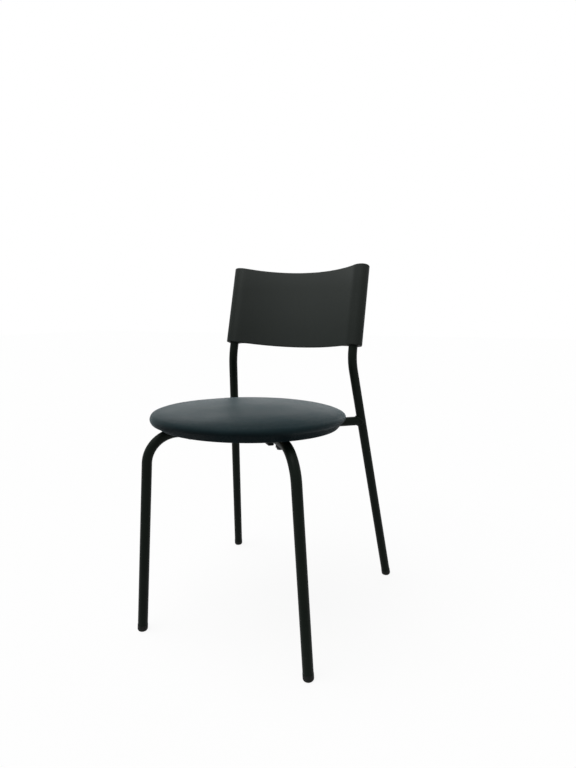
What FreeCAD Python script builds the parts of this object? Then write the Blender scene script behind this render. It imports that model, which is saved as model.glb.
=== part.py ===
import FreeCAD, Part
import math
import os

V = FreeCAD.Vector

# A four-leg canteen chair in millimetres. +Z is up, the chair faces -Y and the floor is Z = 0.
# Left is -X, as seen from the front.

# Steel tube of the frame
TUBE_R = 10.0
TUBE_WALL = 1.5
BORE_R = TUBE_R - TUBE_WALL
FRONT_BEND_R = 60.0
REAR_BEND_R = 100.0

# Points on the tube axes of the right side
FRONT_FOOT = V(184.9, -193.5, 0)
FRONT_CORNER = V(156.2, -188.9, 413.7)
REAR_FOOT = V(211.2, 248.0, 0)
REAR_KINK = V(151.4, 133.3, 541.2)
CROSS_JOINT_Z = 400.8
COPE_SETBACK = 3.0

# Weld collars at the coped ends
WELD_NEAR_R = 12.6
WELD_FAR_R = 10.4
WELD_REACH = 15.0

# Foot caps
CAP_R = 10.4
CAP_H = 13.0
CAP_ROUND = 5.5
CAP_SUNK = 1.2
STEM_R = BORE_R - 0.1
STEM_H = 20.0
STEM_TIP = 1.5

# Backrest shell, as a section square to its lean, drawn out along the lean
BACK_LEAN = 15.3
BACK_FRONT_R = 230.6
BACK_WALL = 5.0
BACK_HEIGHT = 184.6
BACK_RISE = 32.5
BACK_TUBE_DEPTH = 15.4
NOSE_R = 15.75
NOSE_ANGLE = 36.5
NOSE_SWING_R = 36.0
NOSE_SWING_TURN = 28.0
SLEEVE_R = 15.5
SLEEVE_BLEND_R = 22.0
BACK_CORNER_R = 5.5
CORNER_MARGIN = 1.5
BACK_EDGE_R = 2.1

# Sockets in the backrest
SOCKET_R = 12.0
SOCKET_DEPTH = 176.0
SOCKET_RIBS = 6
RIB_W = 1.8
RIB_START = 9.0
RIB_TOUCH_R = TUBE_R + 0.1
TUBE_TOP_GAP = 2.0

# How far cutting tools run past the faces that they open
OVERCUT = 1.0

# Backrest screws
BACK_SCREW_Z = 78.0
BACK_SCREW_R = 2.4
BACK_SCREW_HEAD_R = 4.8
BACK_SCREW_HEAD_H = 2.6
BACK_SCREW_LENGTH = 16.0
BACK_SCREW_SEAT = 14.2
BACK_SCREW_PLAY = 0.1
BACK_SCREW_HEAD_PLAY = 0.4

# Seat pad, as a profile turned about an axis square to the cross tubes
SEAT_Y = -63.8
SEAT_R = 195.0
SEAT_GAP = 3.5
CROWN_H = 23.5
SIDE_H = 20.1
CROWN_TURN = 6.0
PUFF_TURN = 19.0
SHOULDER_R = 8.0
TUCK_SLOPE = 46.0
HEM_R = 6.0
COVER_T = 1.2
MARGIN_R = 140.0
FOAM_CLEAR = 0.3
BOARD_R = 171.0
BOARD_T = 12.0
BOARD_EDGE_R = 2.0

# Seat fixings, at fractions of the way along each cross tube
FRONT_FIX = 0.178
REAR_FIX = 0.65
FIX_HOLE_R = 3.3
SADDLE_LENGTH = 30.0
SADDLE_WIDTH = 23.0
SADDLE_DROP = 6.0
SADDLE_CORNER_R = 5.0
WASHER_R = 8.0
WASHER_T = 1.6
SCREW_R = 3.0
SCREW_LENGTH = 35.0
SCREW_HEAD_R = 6.0
SCREW_HEAD_H = 4.2
SCREW_HEAD_ROUND = 1.6
HEX_ACROSS = 4.0
HEX_DEPTH = 2.4
NUT_BARREL_R = 4.0
NUT_BARREL_H = 9.0
NUT_FLANGE_R = 9.5
NUT_FLANGE_T = 1.2
NUT_BORE_R = SCREW_R + 0.05

# Staples round the turned-under margin of the cover
STAPLES = 24
STAPLE_R = 156.0
STAPLE_W = 10.0
STAPLE_WIRE = 0.9
STAPLE_LEG = 6.0

# Bumpers clipped under the front halves of the cross tubes
BUMPER_AT = 0.325
BUMPER_LENGTH = 22.0
BUMPER_R = 12.5
BUMPER_MOUTH_H = 4.0
BUMPER_FOOT_W = 12.0
BUMPER_FOOT_DROP = 22.0
BUMPER_ROUND = 3.0


def mirrored(point):
    """The same point on the left side."""
    return V(-point.x, point.y, point.z)


def unit(vector):
    return V(vector).normalize()


def between(start, end, fraction):
    return start + (end - start) * fraction


def on_leg(height):
    """The point of the right rear leg's axis at this height, below the kink."""
    return between(REAR_FOOT, REAR_KINK, height / REAR_KINK.z)


def bent_path(start, corner, end, radius):
    """Two straight runs joined by a tangent arc, as a wire."""
    into = unit(corner - start)
    out = unit(end - corner)
    turn = into.getAngle(out)
    reach = radius * math.tan(turn / 2)
    first = corner - into * reach
    last = corner + out * reach
    inward = unit(out - into)
    centre = corner + inward * (radius / math.cos(turn / 2))
    middle = centre - inward * radius
    return Part.Wire([
        Part.LineSegment(start, first).toShape(),
        Part.Arc(first, middle, last).toShape(),
        Part.LineSegment(last, end).toShape(),
    ])


def straight_path(start, end):
    return Part.Wire([Part.LineSegment(start, end).toShape()])


def pipe(path, radius):
    """A round bar along a path."""
    edge = path.OrderedEdges[0]
    start = edge.valueAt(edge.FirstParameter)
    ring = Part.Wire([Part.makeCircle(radius, start, edge.tangentAt(edge.FirstParameter))])
    return path.makePipeShell([ring], True, False)


def tube(path):
    return pipe(path, TUBE_R).cut(pipe(path, BORE_R))


def rod(radius, start, direction, length):
    return Part.makeCylinder(radius, length, start, direction)


def prism(points, depth):
    """A flat outline of straight sides, drawn out by a vector."""
    return Part.Face(Part.makePolygon(points + points[:1])).extrude(depth)


def turned(edges):
    """A closed profile in the XZ plane, turned about the Z axis."""
    face = Part.Face(Part.Wire(edges))
    return face.revolve(V(0, 0, 0), V(0, 0, 1), 360)


def line(start, end):
    return Part.LineSegment(start, end).toShape()


def mirror_x(shape):
    return shape.mirror(V(0, 0, 0), V(1, 0, 0))


# Frame axes

CROSS_JOINT = on_leg(CROSS_JOINT_Z)
LEAN = math.radians(BACK_LEAN)
LEAN_AXIS = V(0, math.sin(LEAN), math.cos(LEAN))
REAR_TOP = REAR_KINK + LEAN_AXIS * (BACK_RISE + SOCKET_DEPTH - TUBE_TOP_GAP)

LEFT_CORNER = mirrored(FRONT_CORNER)
LEFT_JOINT = mirrored(CROSS_JOINT)
CROSSING = between(FRONT_CORNER, LEFT_JOINT, FRONT_CORNER.x / (FRONT_CORNER.x + CROSS_JOINT.x))
ALONG_LEFT = unit(CROSS_JOINT - LEFT_CORNER)
ALONG_RIGHT = unit(LEFT_JOINT - FRONT_CORNER)

# The seat lies parallel to the plane of the two cross tubes
TILT = math.atan2(FRONT_CORNER.z - CROSS_JOINT.z, CROSS_JOINT.y - FRONT_CORNER.y)
SEAT_UP = V(0, math.sin(TILT), math.cos(TILT))
SEAT_BASE = V(0, SEAT_Y, FRONT_CORNER.z - (SEAT_Y - FRONT_CORNER.y) * math.tan(TILT))
BOARD_Z = TUBE_R + SEAT_GAP
PAD_BOTTOM = BOARD_Z - COVER_T
PAD_APEX = PAD_BOTTOM + SIDE_H + CROWN_H


def on_seat(shape):
    """Moves a shape from the seat's own frame to the chair's."""
    moved = shape.copy()
    moved.Placement = FreeCAD.Placement(SEAT_BASE, FreeCAD.Rotation(V(1, 0, 0), -math.degrees(TILT)))
    return moved


def fixing_points():
    """Where the seat screws cross the axes of the cross tubes, with the tube's direction."""
    points = []
    for fraction in (FRONT_FIX, REAR_FIX):
        points.append((between(LEFT_CORNER, CROSS_JOINT, fraction), ALONG_LEFT))
        points.append((between(FRONT_CORNER, LEFT_JOINT, fraction), ALONG_RIGHT))
    return points


FIXINGS = fixing_points()


def screw_holes():
    """The drillings for the seat screws, through both walls of the cross tubes."""
    reach = TUBE_R * 2
    holes = [rod(FIX_HOLE_R, point - SEAT_UP * reach, SEAT_UP, reach * 2) for point, along in FIXINGS]
    return Part.makeCompound(holes)


# Frame tubes

def cap_top(foot, corner):
    """Where a leg's tube begins, above its foot cap."""
    return foot + unit(corner - foot) * CAP_H


def rear_leg_path():
    return bent_path(cap_top(REAR_FOOT, REAR_KINK), REAR_KINK, REAR_TOP, REAR_BEND_R)


def left_cross_path():
    start = cap_top(mirrored(FRONT_FOOT), LEFT_CORNER)
    return bent_path(start, LEFT_CORNER, CROSS_JOINT - ALONG_LEFT * COPE_SETBACK, FRONT_BEND_R)


def right_cross_path():
    start = cap_top(FRONT_FOOT, FRONT_CORNER)
    return bent_path(start, FRONT_CORNER, CROSSING - ALONG_RIGHT * COPE_SETBACK, FRONT_BEND_R)


def rear_cross_path():
    return straight_path(CROSSING + ALONG_RIGHT * COPE_SETBACK, LEFT_JOINT - ALONG_RIGHT * COPE_SETBACK)


def weld(point, direction, tubes):
    """A flared collar round a coped end, cut away where the tubes run."""
    collar = Part.makeCone(WELD_NEAR_R, WELD_FAR_R, WELD_REACH, point, direction)
    for solid in tubes:
        collar = collar.cut(solid)
    return max(collar.Solids, key=lambda solid: solid.Volume)


def frame_nodes():
    """The five tubes of the frame and the weld collars at their coped ends."""
    right_leg = pipe(rear_leg_path(), TUBE_R)
    left_leg = mirror_x(right_leg)
    left_bar = pipe(left_cross_path(), TUBE_R)
    right_bar = pipe(right_cross_path(), TUBE_R)
    rear_bar = pipe(rear_cross_path(), TUBE_R)
    drill = screw_holes()

    hole = back_screw_hole()
    right_rear = tube(rear_leg_path()).cut(hole)
    cross_welds = [
        weld(CROSSING, ALONG_RIGHT * -1, (left_bar, right_bar)),
        weld(CROSSING, ALONG_RIGHT, (left_bar, rear_bar)),
    ]
    rear_welds = [
        weld(CROSS_JOINT, ALONG_LEFT * -1, (right_leg, left_bar)),
        weld(LEFT_JOINT, ALONG_RIGHT * -1, (left_leg, rear_bar)),
    ]
    return {
        "left_front_leg": tube(left_cross_path()).cut(right_leg).cut(drill),
        "right_front_leg": tube(right_cross_path()).cut(left_bar).cut(drill),
        "rear_cross_tube": tube(rear_cross_path()).cut(left_bar).cut(left_leg).cut(drill),
        "left_rear_leg": mirror_x(right_rear),
        "right_rear_leg": right_rear,
        "cross_welds": Part.makeCompound(cross_welds),
        "rear_welds": Part.makeCompound(rear_welds),
    }


# Foot caps

def foot_cap(foot, corner):
    """A moulded cap turned about the leg's axis, with a stem in the tube and a sole level with the floor."""
    flat = CAP_R - CAP_ROUND
    knee = CAP_ROUND * (1 - math.sqrt(0.5))
    profile = [
        line(V(0, 0, -CAP_SUNK), V(flat, 0, -CAP_SUNK)),
        Part.Arc(V(flat, 0, -CAP_SUNK), V(CAP_R - knee, 0, knee - CAP_SUNK),
                 V(CAP_R, 0, CAP_ROUND - CAP_SUNK)).toShape(),
        line(V(CAP_R, 0, CAP_ROUND - CAP_SUNK), V(CAP_R, 0, CAP_H)),
        line(V(CAP_R, 0, CAP_H), V(STEM_R, 0, CAP_H)),
        line(V(STEM_R, 0, CAP_H), V(STEM_R, 0, CAP_H + STEM_H)),
        line(V(STEM_R, 0, CAP_H + STEM_H), V(STEM_R - STEM_TIP, 0, CAP_H + STEM_H + STEM_TIP)),
        line(V(STEM_R - STEM_TIP, 0, CAP_H + STEM_H + STEM_TIP), V(0, 0, CAP_H + STEM_H + STEM_TIP)),
        line(V(0, 0, CAP_H + STEM_H + STEM_TIP), V(0, 0, -CAP_SUNK)),
    ]
    cap = turned(profile)
    cap.Placement = FreeCAD.Placement(foot, FreeCAD.Rotation(V(0, 0, 1), corner - foot))
    side = CAP_R * 4
    floor = Part.makeBox(side, side, side, foot - V(side / 2, side / 2, side))
    return cap.cut(floor)


def foot_nodes():
    front = foot_cap(FRONT_FOOT, FRONT_CORNER)
    rear = foot_cap(REAR_FOOT, REAR_KINK)
    return {
        "left_front_foot": mirror_x(front),
        "right_front_foot": front,
        "left_rear_foot": mirror_x(rear),
        "right_rear_foot": rear,
    }


# Backrest

TUBE_POLAR = math.asin(REAR_KINK.x / (BACK_FRONT_R + BACK_TUBE_DEPTH))
SLEEVE = V(REAR_KINK.x, (BACK_FRONT_R + BACK_TUBE_DEPTH) * math.cos(TUBE_POLAR), 0)


def polar(radius, angle):
    """A point of the section at a radius and an angle off the chair's middle plane."""
    return V(radius * math.sin(angle), radius * math.cos(angle), 0)


def arc_about(centre, start, end, away):
    """An arc about a centre, from start to end, passing on the side of a direction."""
    radius = (start - centre).Length
    middle = centre + unit(away) * radius
    return Part.Arc(start, middle, end).toShape()


def blend_centre():
    """Centre of the arc that blends the back of the sleeve into the back of the panel."""
    far = SLEEVE.Length
    to_sleeve = SLEEVE_R + SLEEVE_BLEND_R
    to_middle = BACK_FRONT_R + BACK_WALL + SLEEVE_BLEND_R
    cosine = (far ** 2 + to_middle ** 2 - to_sleeve ** 2) / (2 * far * to_middle)
    return polar(to_middle, TUBE_POLAR - math.acos(cosine))


def shell_half():
    """Edges of the right half of the section, from the front middle round the end to the back middle."""
    leave = math.radians(NOSE_ANGLE)
    front_end = polar(BACK_FRONT_R, leave)
    front_mid = polar(BACK_FRONT_R, leave / 2)

    # The front swings gently out of its hollow before it rolls over the nose
    swing_turn = math.radians(NOSE_SWING_TURN)
    swing = polar(BACK_FRONT_R + NOSE_SWING_R, leave)
    swing_mid = swing - polar(NOSE_SWING_R, leave - swing_turn / 2)
    swing_end = swing - polar(NOSE_SWING_R, leave - swing_turn)
    nose = swing - polar(NOSE_SWING_R - NOSE_R, leave - swing_turn)

    across = SLEEVE - nose
    slant = math.acos((NOSE_R - SLEEVE_R) / across.Length)
    heading = math.atan2(across.y, across.x) - slant
    normal = V(math.cos(heading), math.sin(heading), 0)
    nose_end = nose + normal * NOSE_R
    sleeve_start = SLEEVE + normal * SLEEVE_R

    blend = blend_centre()
    sleeve_end = SLEEVE + unit(blend - SLEEVE) * SLEEVE_R
    panel_angle = math.atan2(blend.x, blend.y)
    back_r = BACK_FRONT_R + BACK_WALL
    blend_end = polar(back_r, panel_angle)

    tip = V(1, 0, 0)
    hump = unit(sleeve_end - SLEEVE) + normal
    inside = unit(sleeve_end - blend) + unit(blend_end - blend)
    return [
        Part.Arc(polar(BACK_FRONT_R, 0), front_mid, front_end).toShape(),
        Part.Arc(front_end, swing_mid, swing_end).toShape(),
        arc_about(nose, swing_end, nose_end, tip),
        line(nose_end, sleeve_start),
        arc_about(SLEEVE, sleeve_start, sleeve_end, hump),
        arc_about(blend, sleeve_end, blend_end, inside),
        Part.Arc(blend_end, polar(back_r, panel_angle / 2), polar(back_r, 0)).toShape(),
    ]


def rounded_corners(solid):
    """Rounds the four outer corners of the shell, as seen from the front."""
    box = solid.BoundBox
    low = V(box.XMin - CORNER_MARGIN, box.YMin - CORNER_MARGIN, 0)
    wide = box.XLength + CORNER_MARGIN * 2
    deep = box.YLength + CORNER_MARGIN * 2
    frame = Part.makeBox(wide, deep, BACK_HEIGHT, low)
    upright = [edge for edge in frame.Edges if abs(edge.tangentAt(edge.FirstParameter).y) > 0.99]
    return solid.common(frame.makeFillet(BACK_CORNER_R, upright))


def socket():
    """The blind pocket for a tube, less its crush ribs."""
    pocket = rod(SOCKET_R, SLEEVE - V(0, 0, OVERCUT), V(0, 0, 1), SOCKET_DEPTH + OVERCUT)
    depth = SOCKET_R - RIB_TOUCH_R + OVERCUT
    rib = Part.makeBox(depth, RIB_W, SOCKET_DEPTH, V(RIB_TOUCH_R, -RIB_W / 2, RIB_START))
    for index in range(SOCKET_RIBS):
        turned_rib = rib.copy()
        turned_rib.rotate(V(0, 0, 0), V(0, 0, 1), index * 360 / SOCKET_RIBS)
        turned_rib.translate(SLEEVE)
        pocket = pocket.cut(turned_rib)
    return pocket


def on_back(shape):
    """Moves a shape from the backrest's own frame to the chair's."""
    base = REAR_KINK + LEAN_AXIS * BACK_RISE
    turn = FreeCAD.Rotation(V(1, 0, 0), -BACK_LEAN)
    moved = shape.copy()
    moved.Placement = FreeCAD.Placement(base - turn.multVec(SLEEVE), turn)
    return moved


def back_screw_line():
    """Where the head of the right backrest screw bears, and its direction forwards."""
    return SLEEVE + V(0, BACK_SCREW_SEAT, BACK_SCREW_Z), V(0, -1, 0)


def back_screw_hole():
    bearing, forwards = back_screw_line()
    return on_back(rod(BACK_SCREW_R + BACK_SCREW_PLAY, bearing, forwards, BACK_SCREW_LENGTH))


def back_screw():
    """A pan-head screw with a cross slot, from behind through the sleeve into the tube."""
    bearing, forwards = back_screw_line()
    backwards = forwards * -1
    head = rod(BACK_SCREW_HEAD_R, bearing, backwards, BACK_SCREW_HEAD_H)
    crown = [edge for edge in head.Edges if abs(edge.CenterOfMass.y - bearing.y - BACK_SCREW_HEAD_H) < 0.01]
    head = head.makeFillet(BACK_SCREW_HEAD_H / 2, crown)
    shank = rod(BACK_SCREW_R, bearing, forwards, BACK_SCREW_LENGTH)
    screw = head.fuse(shank)
    slot_w = BACK_SCREW_R / 2
    slot_l = BACK_SCREW_HEAD_R
    depth = BACK_SCREW_HEAD_H / 2
    start = bearing + backwards * depth
    screw = screw.cut(Part.makeBox(slot_w, depth * 2, slot_l, start - V(slot_w / 2, 0, slot_l / 2)))
    return screw.cut(Part.makeBox(slot_l, depth * 2, slot_w, start - V(slot_l / 2, 0, slot_w / 2)))


def back_nodes():
    half = shell_half()
    section = Part.Face(Part.Wire(Part.__sortEdges__(half + [mirror_x(edge) for edge in half])))
    shell = rounded_corners(section.extrude(V(0, 0, BACK_HEIGHT)))
    shell = eased(shell)
    bearing, forwards = back_screw_line()
    spot = rod(BACK_SCREW_HEAD_R + BACK_SCREW_HEAD_PLAY, bearing, forwards * -1, SLEEVE_R)
    hole = rod(BACK_SCREW_R + BACK_SCREW_PLAY, bearing, forwards, SLEEVE_R)
    for tool in (socket(), spot, hole):
        shell = shell.cut(tool).cut(mirror_x(tool))
    screw = back_screw()
    return {
        "back_shell": on_back(shell),
        "back_screws": on_back(Part.makeCompound([mirror_x(screw), screw])),
    }


def eased(shell):
    """Rounds the rim of the shell all the way round, front and back."""
    rim = []
    for edge in shell.Edges:
        if abs(edge.tangentAt((edge.FirstParameter + edge.LastParameter) / 2).z) < 0.999:
            rim.append(edge)
    return shell.makeFillet(BACK_EDGE_R, rim)


# Seat pad

def pad_profile(inset):
    """Edges and end of the pad's outline, set in by a thickness, from the crown out and under to the hem.

    The outline is a chain of tangent arcs that always turns inwards: the crown, the puffed edge, the
    shoulder at the widest place, the straight tuck under it and the hem at the board.
    """
    first = math.radians(CROWN_TURN)
    second = math.radians(CROWN_TURN + PUFF_TURN)
    # Radii of crown and puff that give the pad its width and its crown height
    a, b = math.sin(first), math.sin(second) - math.sin(first)
    c, d = 1 - math.cos(first), math.cos(first) - math.cos(second)
    wide = SEAT_R - SHOULDER_R * (1 - math.sin(second))
    tall = CROWN_H - SHOULDER_R * math.cos(second)
    crown_r = (wide * d - b * tall) / (a * d - b * c)
    puff_r = (a * tall - wide * c) / (a * d - b * c)

    slope = math.radians(TUCK_SLOPE)
    tuck = (SIDE_H - SHOULDER_R * math.cos(slope) - HEM_R * (1 - math.cos(slope))) / math.sin(slope)
    shoulder_turn = 180 - CROWN_TURN - PUFF_TURN - TUCK_SLOPE

    edges = []
    place = V(0, 0, PAD_APEX - inset)
    heading = 0.0
    for radius, turn in ((crown_r, CROWN_TURN), (puff_r, PUFF_TURN), (SHOULDER_R, shoulder_turn),
                         (None, tuck), (HEM_R, TUCK_SLOPE)):
        start = place
        if radius is None:
            place = start + V(math.cos(heading), 0, -math.sin(heading)) * turn
            edges.append(line(start, place))
            continue
        inner = radius - inset
        centre = start - V(math.sin(heading), 0, math.cos(heading)) * inner
        half = heading + math.radians(turn) / 2
        heading = heading + math.radians(turn)
        middle = centre + V(math.sin(half), 0, math.cos(half)) * inner
        place = centre + V(math.sin(heading), 0, math.cos(heading)) * inner
        edges.append(Part.Arc(start, middle, place).toShape())
    return edges, place


def cover():
    """The upholstery cover: a thin skin over the pad, turned under the board as a margin."""
    outside, outer_hem = pad_profile(0)
    inside, inner_hem = pad_profile(COVER_T)
    outer_margin = V(MARGIN_R, 0, outer_hem.z)
    inner_margin = V(MARGIN_R, 0, inner_hem.z)
    closing = [
        line(outer_hem, outer_margin),
        line(outer_margin, inner_margin),
        line(inner_margin, inner_hem),
        line(V(0, 0, PAD_APEX - COVER_T), V(0, 0, PAD_APEX)),
    ]
    return turned(Part.__sortEdges__(outside + inside + closing))


def foam():
    """The foam over and round the board, just clear of the cover."""
    outside, hem = pad_profile(COVER_T + FOAM_CLEAR)
    ledge = BOARD_Z + BOARD_T + FOAM_CLEAR
    side = BOARD_R + FOAM_CLEAR
    closing = [
        line(hem, V(side, 0, hem.z)),
        line(V(side, 0, hem.z), V(side, 0, ledge)),
        line(V(side, 0, ledge), V(0, 0, ledge)),
        line(V(0, 0, ledge), V(0, 0, PAD_APEX - COVER_T - FOAM_CLEAR)),
    ]
    return turned(Part.__sortEdges__(outside + closing))


def staple(angle):
    """A wire staple lying along the edge of the pad, its legs up in the board."""
    low = PAD_BOTTOM - STAPLE_WIRE
    wire = STAPLE_WIRE
    crown = Part.makeBox(wire, STAPLE_W, wire, V(STAPLE_R, -STAPLE_W / 2, low))
    for start in (-STAPLE_W / 2, STAPLE_W / 2 - wire):
        crown = crown.fuse(Part.makeBox(wire, wire, STAPLE_LEG, V(STAPLE_R, start, low)))
    crown = crown.removeSplitter()
    crown.rotate(V(0, 0, 0), V(0, 0, 1), angle)
    return crown


def saddle(point, along):
    """A moulded block with a flat top for the board and a trough for the tube."""
    across = SEAT_UP.cross(along)
    corner = point - along * (SADDLE_LENGTH / 2) - across * (SADDLE_WIDTH / 2)
    corner = corner + SEAT_UP * (BOARD_Z - SADDLE_DROP - SEAT_GAP)
    outline = [corner, corner + along * SADDLE_LENGTH,
               corner + along * SADDLE_LENGTH + across * SADDLE_WIDTH, corner + across * SADDLE_WIDTH]
    block = prism(outline, SEAT_UP * (SADDLE_DROP + SEAT_GAP))
    upright = [edge for edge in block.Edges if edge.tangentAt(0).cross(SEAT_UP).Length < 0.01]
    block = block.makeFillet(SADDLE_CORNER_R, upright)
    block = block.cut(rod(TUBE_R, point - along * SADDLE_LENGTH, along, SADDLE_LENGTH * 2))
    return block.cut(rod(FIX_HOLE_R, point, SEAT_UP, BOARD_Z * 2))


def washer(point, along):
    """A washer whose upper face is hollowed to the tube."""
    low = point - SEAT_UP * (TUBE_R + WASHER_T)
    disc = rod(WASHER_R, low, SEAT_UP, TUBE_R)
    disc = disc.cut(rod(TUBE_R, point - along * TUBE_R, along, TUBE_R * 2))
    disc = disc.cut(rod(FIX_HOLE_R, low, SEAT_UP, TUBE_R))
    return min(disc.Solids, key=lambda solid: (solid.CenterOfMass - low).Length)


def seat_screw(point):
    """A pan-head screw with a hexagon socket, from below through the tube into the board."""
    bearing = point - SEAT_UP * (TUBE_R + WASHER_T)
    head = rod(SCREW_HEAD_R, bearing, SEAT_UP * -1, SCREW_HEAD_H)
    lowest = min(head.Edges, key=lambda edge: (edge.CenterOfMass - bearing) * SEAT_UP)
    head = head.makeFillet(SCREW_HEAD_ROUND, [lowest])
    screw = head.fuse(rod(SCREW_R, bearing, SEAT_UP, SCREW_LENGTH))
    side = HEX_ACROSS / math.sqrt(3)
    mouth = bearing - SEAT_UP * SCREW_HEAD_H
    front = SEAT_UP.cross(V(1, 0, 0))
    corners = []
    for index in range(6):
        angle = math.radians(60 * index)
        corners.append(mouth + V(1, 0, 0) * (side * math.cos(angle)) + front * (side * math.sin(angle)))
    return screw.cut(prism(corners, SEAT_UP * HEX_DEPTH))


def tee_nut(point):
    """A flanged barrel nut let into the board from above."""
    top = point + SEAT_UP * (BOARD_Z + BOARD_T)
    barrel = rod(NUT_BARREL_R, top - SEAT_UP * NUT_BARREL_H, SEAT_UP, NUT_BARREL_H)
    flange = rod(NUT_FLANGE_R, top, SEAT_UP, NUT_FLANGE_T)
    bore = rod(NUT_BORE_R, top - SEAT_UP * NUT_BARREL_H * 2, SEAT_UP, NUT_BARREL_H * 4)
    return barrel.fuse(flange).removeSplitter().cut(bore)


def seat_nodes():
    """The pad's board, foam and cover, and all that fixes the pad to the frame."""
    board = rod(BOARD_R, V(0, 0, BOARD_Z), V(0, 0, 1), BOARD_T)
    board = on_seat(board.makeFillet(BOARD_EDGE_R, [edge for edge in board.Edges if edge.Closed]))
    staples = on_seat(Part.makeCompound([staple(360 * (i + 0.5) / STAPLES) for i in range(STAPLES)]))
    pad_foam = on_seat(foam())
    for point, along in FIXINGS:
        top = point + SEAT_UP * (BOARD_Z + BOARD_T)
        board = board.cut(rod(NUT_BARREL_R, top - SEAT_UP * (BOARD_T + OVERCUT), SEAT_UP, BOARD_T + OVERCUT * 2))
        pad_foam = pad_foam.cut(rod(NUT_FLANGE_R + FOAM_CLEAR, top, SEAT_UP, NUT_FLANGE_T + FOAM_CLEAR))
    return {
        "seat_board": board.cut(staples),
        "seat_foam": pad_foam,
        "seat_cover": on_seat(cover()).cut(staples),
        "seat_staples": staples,
        "seat_saddles": Part.makeCompound([saddle(point, along) for point, along in FIXINGS]),
        "seat_washers": Part.makeCompound([washer(point, along) for point, along in FIXINGS]),
        "seat_screws": Part.makeCompound([seat_screw(point) for point, along in FIXINGS]),
        "seat_tee_nuts": Part.makeCompound([tee_nut(point) for point, along in FIXINGS]),
    }


# Bumpers

def bumper(point, along):
    """A moulded clip that grips the tube from below, with a rounded foot under it."""
    start = point - along * (BUMPER_LENGTH / 2)
    across = SEAT_UP.cross(along)
    corner = start - across * (BUMPER_FOOT_W / 2) - SEAT_UP * BUMPER_FOOT_DROP
    outline = [corner, corner + along * BUMPER_LENGTH,
               corner + along * BUMPER_LENGTH + across * BUMPER_FOOT_W, corner + across * BUMPER_FOOT_W]
    foot = prism(outline, SEAT_UP * BUMPER_FOOT_DROP)
    low = [edge for edge in foot.Edges if abs((edge.CenterOfMass - corner) * SEAT_UP) < 0.01]
    foot = foot.makeFillet(BUMPER_ROUND, low)
    clip = rod(BUMPER_R, start, along, BUMPER_LENGTH).fuse(foot).removeSplitter()
    clip = clip.cut(rod(TUBE_R, start - along * BUMPER_LENGTH, along, BUMPER_LENGTH * 3))
    mouth_corner = start - along * OVERCUT - across * BUMPER_R * 2 + SEAT_UP * BUMPER_MOUTH_H
    reach = BUMPER_LENGTH + OVERCUT * 2
    mouth = [mouth_corner, mouth_corner + along * reach,
             mouth_corner + along * reach + across * BUMPER_R * 4, mouth_corner + across * BUMPER_R * 4]
    return clip.cut(prism(mouth, SEAT_UP * BUMPER_R * 2))


def bumper_nodes():
    return {
        "left_bumper": bumper(between(LEFT_CORNER, CROSS_JOINT, BUMPER_AT), ALONG_LEFT),
        "right_bumper": bumper(between(FRONT_CORNER, LEFT_JOINT, BUMPER_AT), ALONG_RIGHT),
    }


os.makedirs("parts", exist_ok=True)
for nodes in (frame_nodes(), foot_nodes(), back_nodes(), seat_nodes(), bumper_nodes()):
    for name, shape in nodes.items():
        solids = len(shape.Solids)
        print(name, "valid" if shape.isValid() else "INVALID", solids, "solids", round(shape.Volume), "mm3")
        shape.exportStep("parts/" + name + ".step")
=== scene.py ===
import math

import bpy
import numpy as np
from bpy.props import FloatProperty, FloatVectorProperty, IntProperty, PointerProperty
from mathutils import Matrix


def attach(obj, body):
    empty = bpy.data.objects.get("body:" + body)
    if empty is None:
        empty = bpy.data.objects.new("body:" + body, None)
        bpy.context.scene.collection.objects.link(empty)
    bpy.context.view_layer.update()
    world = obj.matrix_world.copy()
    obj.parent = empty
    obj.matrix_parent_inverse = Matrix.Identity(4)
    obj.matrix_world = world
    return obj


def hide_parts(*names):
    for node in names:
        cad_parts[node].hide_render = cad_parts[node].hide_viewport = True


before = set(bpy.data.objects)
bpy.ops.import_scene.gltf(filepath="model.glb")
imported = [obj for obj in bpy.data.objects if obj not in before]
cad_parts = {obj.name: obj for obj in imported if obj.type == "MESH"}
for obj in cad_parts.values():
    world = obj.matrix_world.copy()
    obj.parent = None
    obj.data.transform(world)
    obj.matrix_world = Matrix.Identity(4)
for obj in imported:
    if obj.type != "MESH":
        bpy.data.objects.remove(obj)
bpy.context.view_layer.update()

bl_info = {
    "name": "Canteen Chair",
    "version": (1, 0, 0),
    "blender": (4, 5, 0),
    "location": "3D View > Sidebar > Chair",
    "description": "Finishes, weld beads and padded seat of a canteen chair on its tubular frame",
    "category": "Object",
}

FRAME_TUBES = ("left_front_leg", "right_front_leg", "rear_cross_tube", "left_rear_leg", "right_rear_leg")
FEET = ("left_front_foot", "right_front_foot", "left_rear_foot", "right_rear_foot")
BUMPERS = ("left_bumper", "right_bumper")
WHITE = (1, 1, 1, 1)
FULL_TURN = 2 * math.pi

# Points round a weld bead and across it, and the height of its section as a share of its width
BEAD_AROUND = 420
BEAD_ACROSS = 14
BEAD_FLATNESS = 0.8

# How the pad is divided and shaped
OUTLINE_MARKS = 8001
RIM_CROWDING = 0.4
SLACK_REACH = 0.8
MARGIN_RINGS = 15
PLEAT_GROWTH = 0.7
PLEAT_SHARPNESS = 6
SETTLED_FROM = 0.4

# Where the pad's uneven places set in and are full, as cosines of the angle from its fuller or tighter side
FULL_ROLL = 0.60, 0.95
SETTLED_EDGE = 0.20, 0.60
# Painted shade: where the shade painted on the drawn-in side grows fainter towards the fuller side
FAINT_SHADE_ROLL = 0.72, 0.98
TIGHT_ROLL = 0.10, 0.60
TIGHT_TIP = 0.80, 0.97

# Weight, damping and steps of the cloth
CLOTH_QUALITY = 5
CLOTH_MASS = 0.2
CLOTH_DAMPING = 2.0
STANDING_STILL = 1e-9

FLOOR_CELLS = 8


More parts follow.
